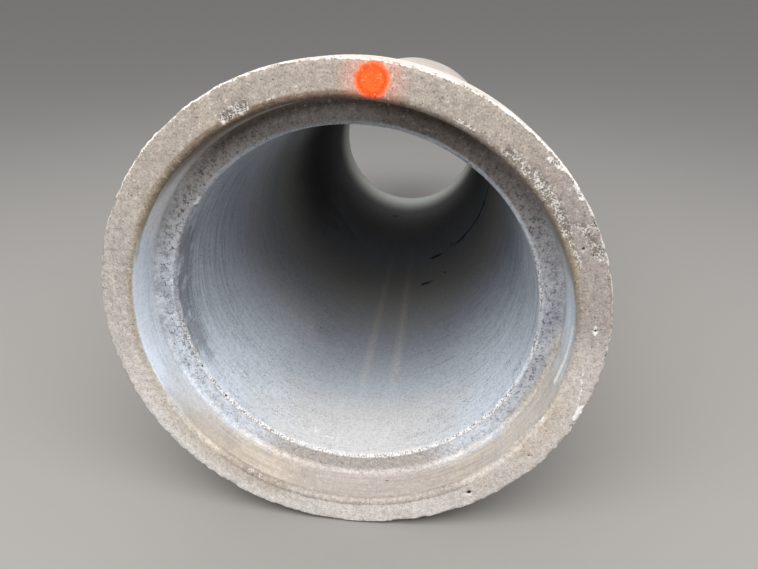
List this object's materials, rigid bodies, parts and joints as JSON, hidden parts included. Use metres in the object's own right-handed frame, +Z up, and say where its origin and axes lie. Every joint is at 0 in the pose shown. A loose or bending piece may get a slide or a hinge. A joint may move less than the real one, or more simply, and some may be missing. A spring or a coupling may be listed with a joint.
{
  "type": "concrete culvert pipe",
  "caption": "Long round pipe of cast concrete with a wide bell and recessed socket at one end and a stepped tongue at the other, lying on its side to carry water under a road.",
  "frame": {"origin": "on the floor under the middle of the lying pipe", "axes": "+Z up, +Y along the pipe from its bell end to its tongue end, +X to the right seen from the bell end. The pipe's axis runs in the YZ plane and dips 1.2 degrees towards +Y, because it rests on the bell and on the far end of the barrel"},
  "size_m": [1, 2.5372, 1.0021],
  "materials": {
    "concrete": "weathered cast concrete, matte"
  },
  "bodies": {
    "root": {"culvert_pipe": "concrete"}
  },
  "joints": []
}
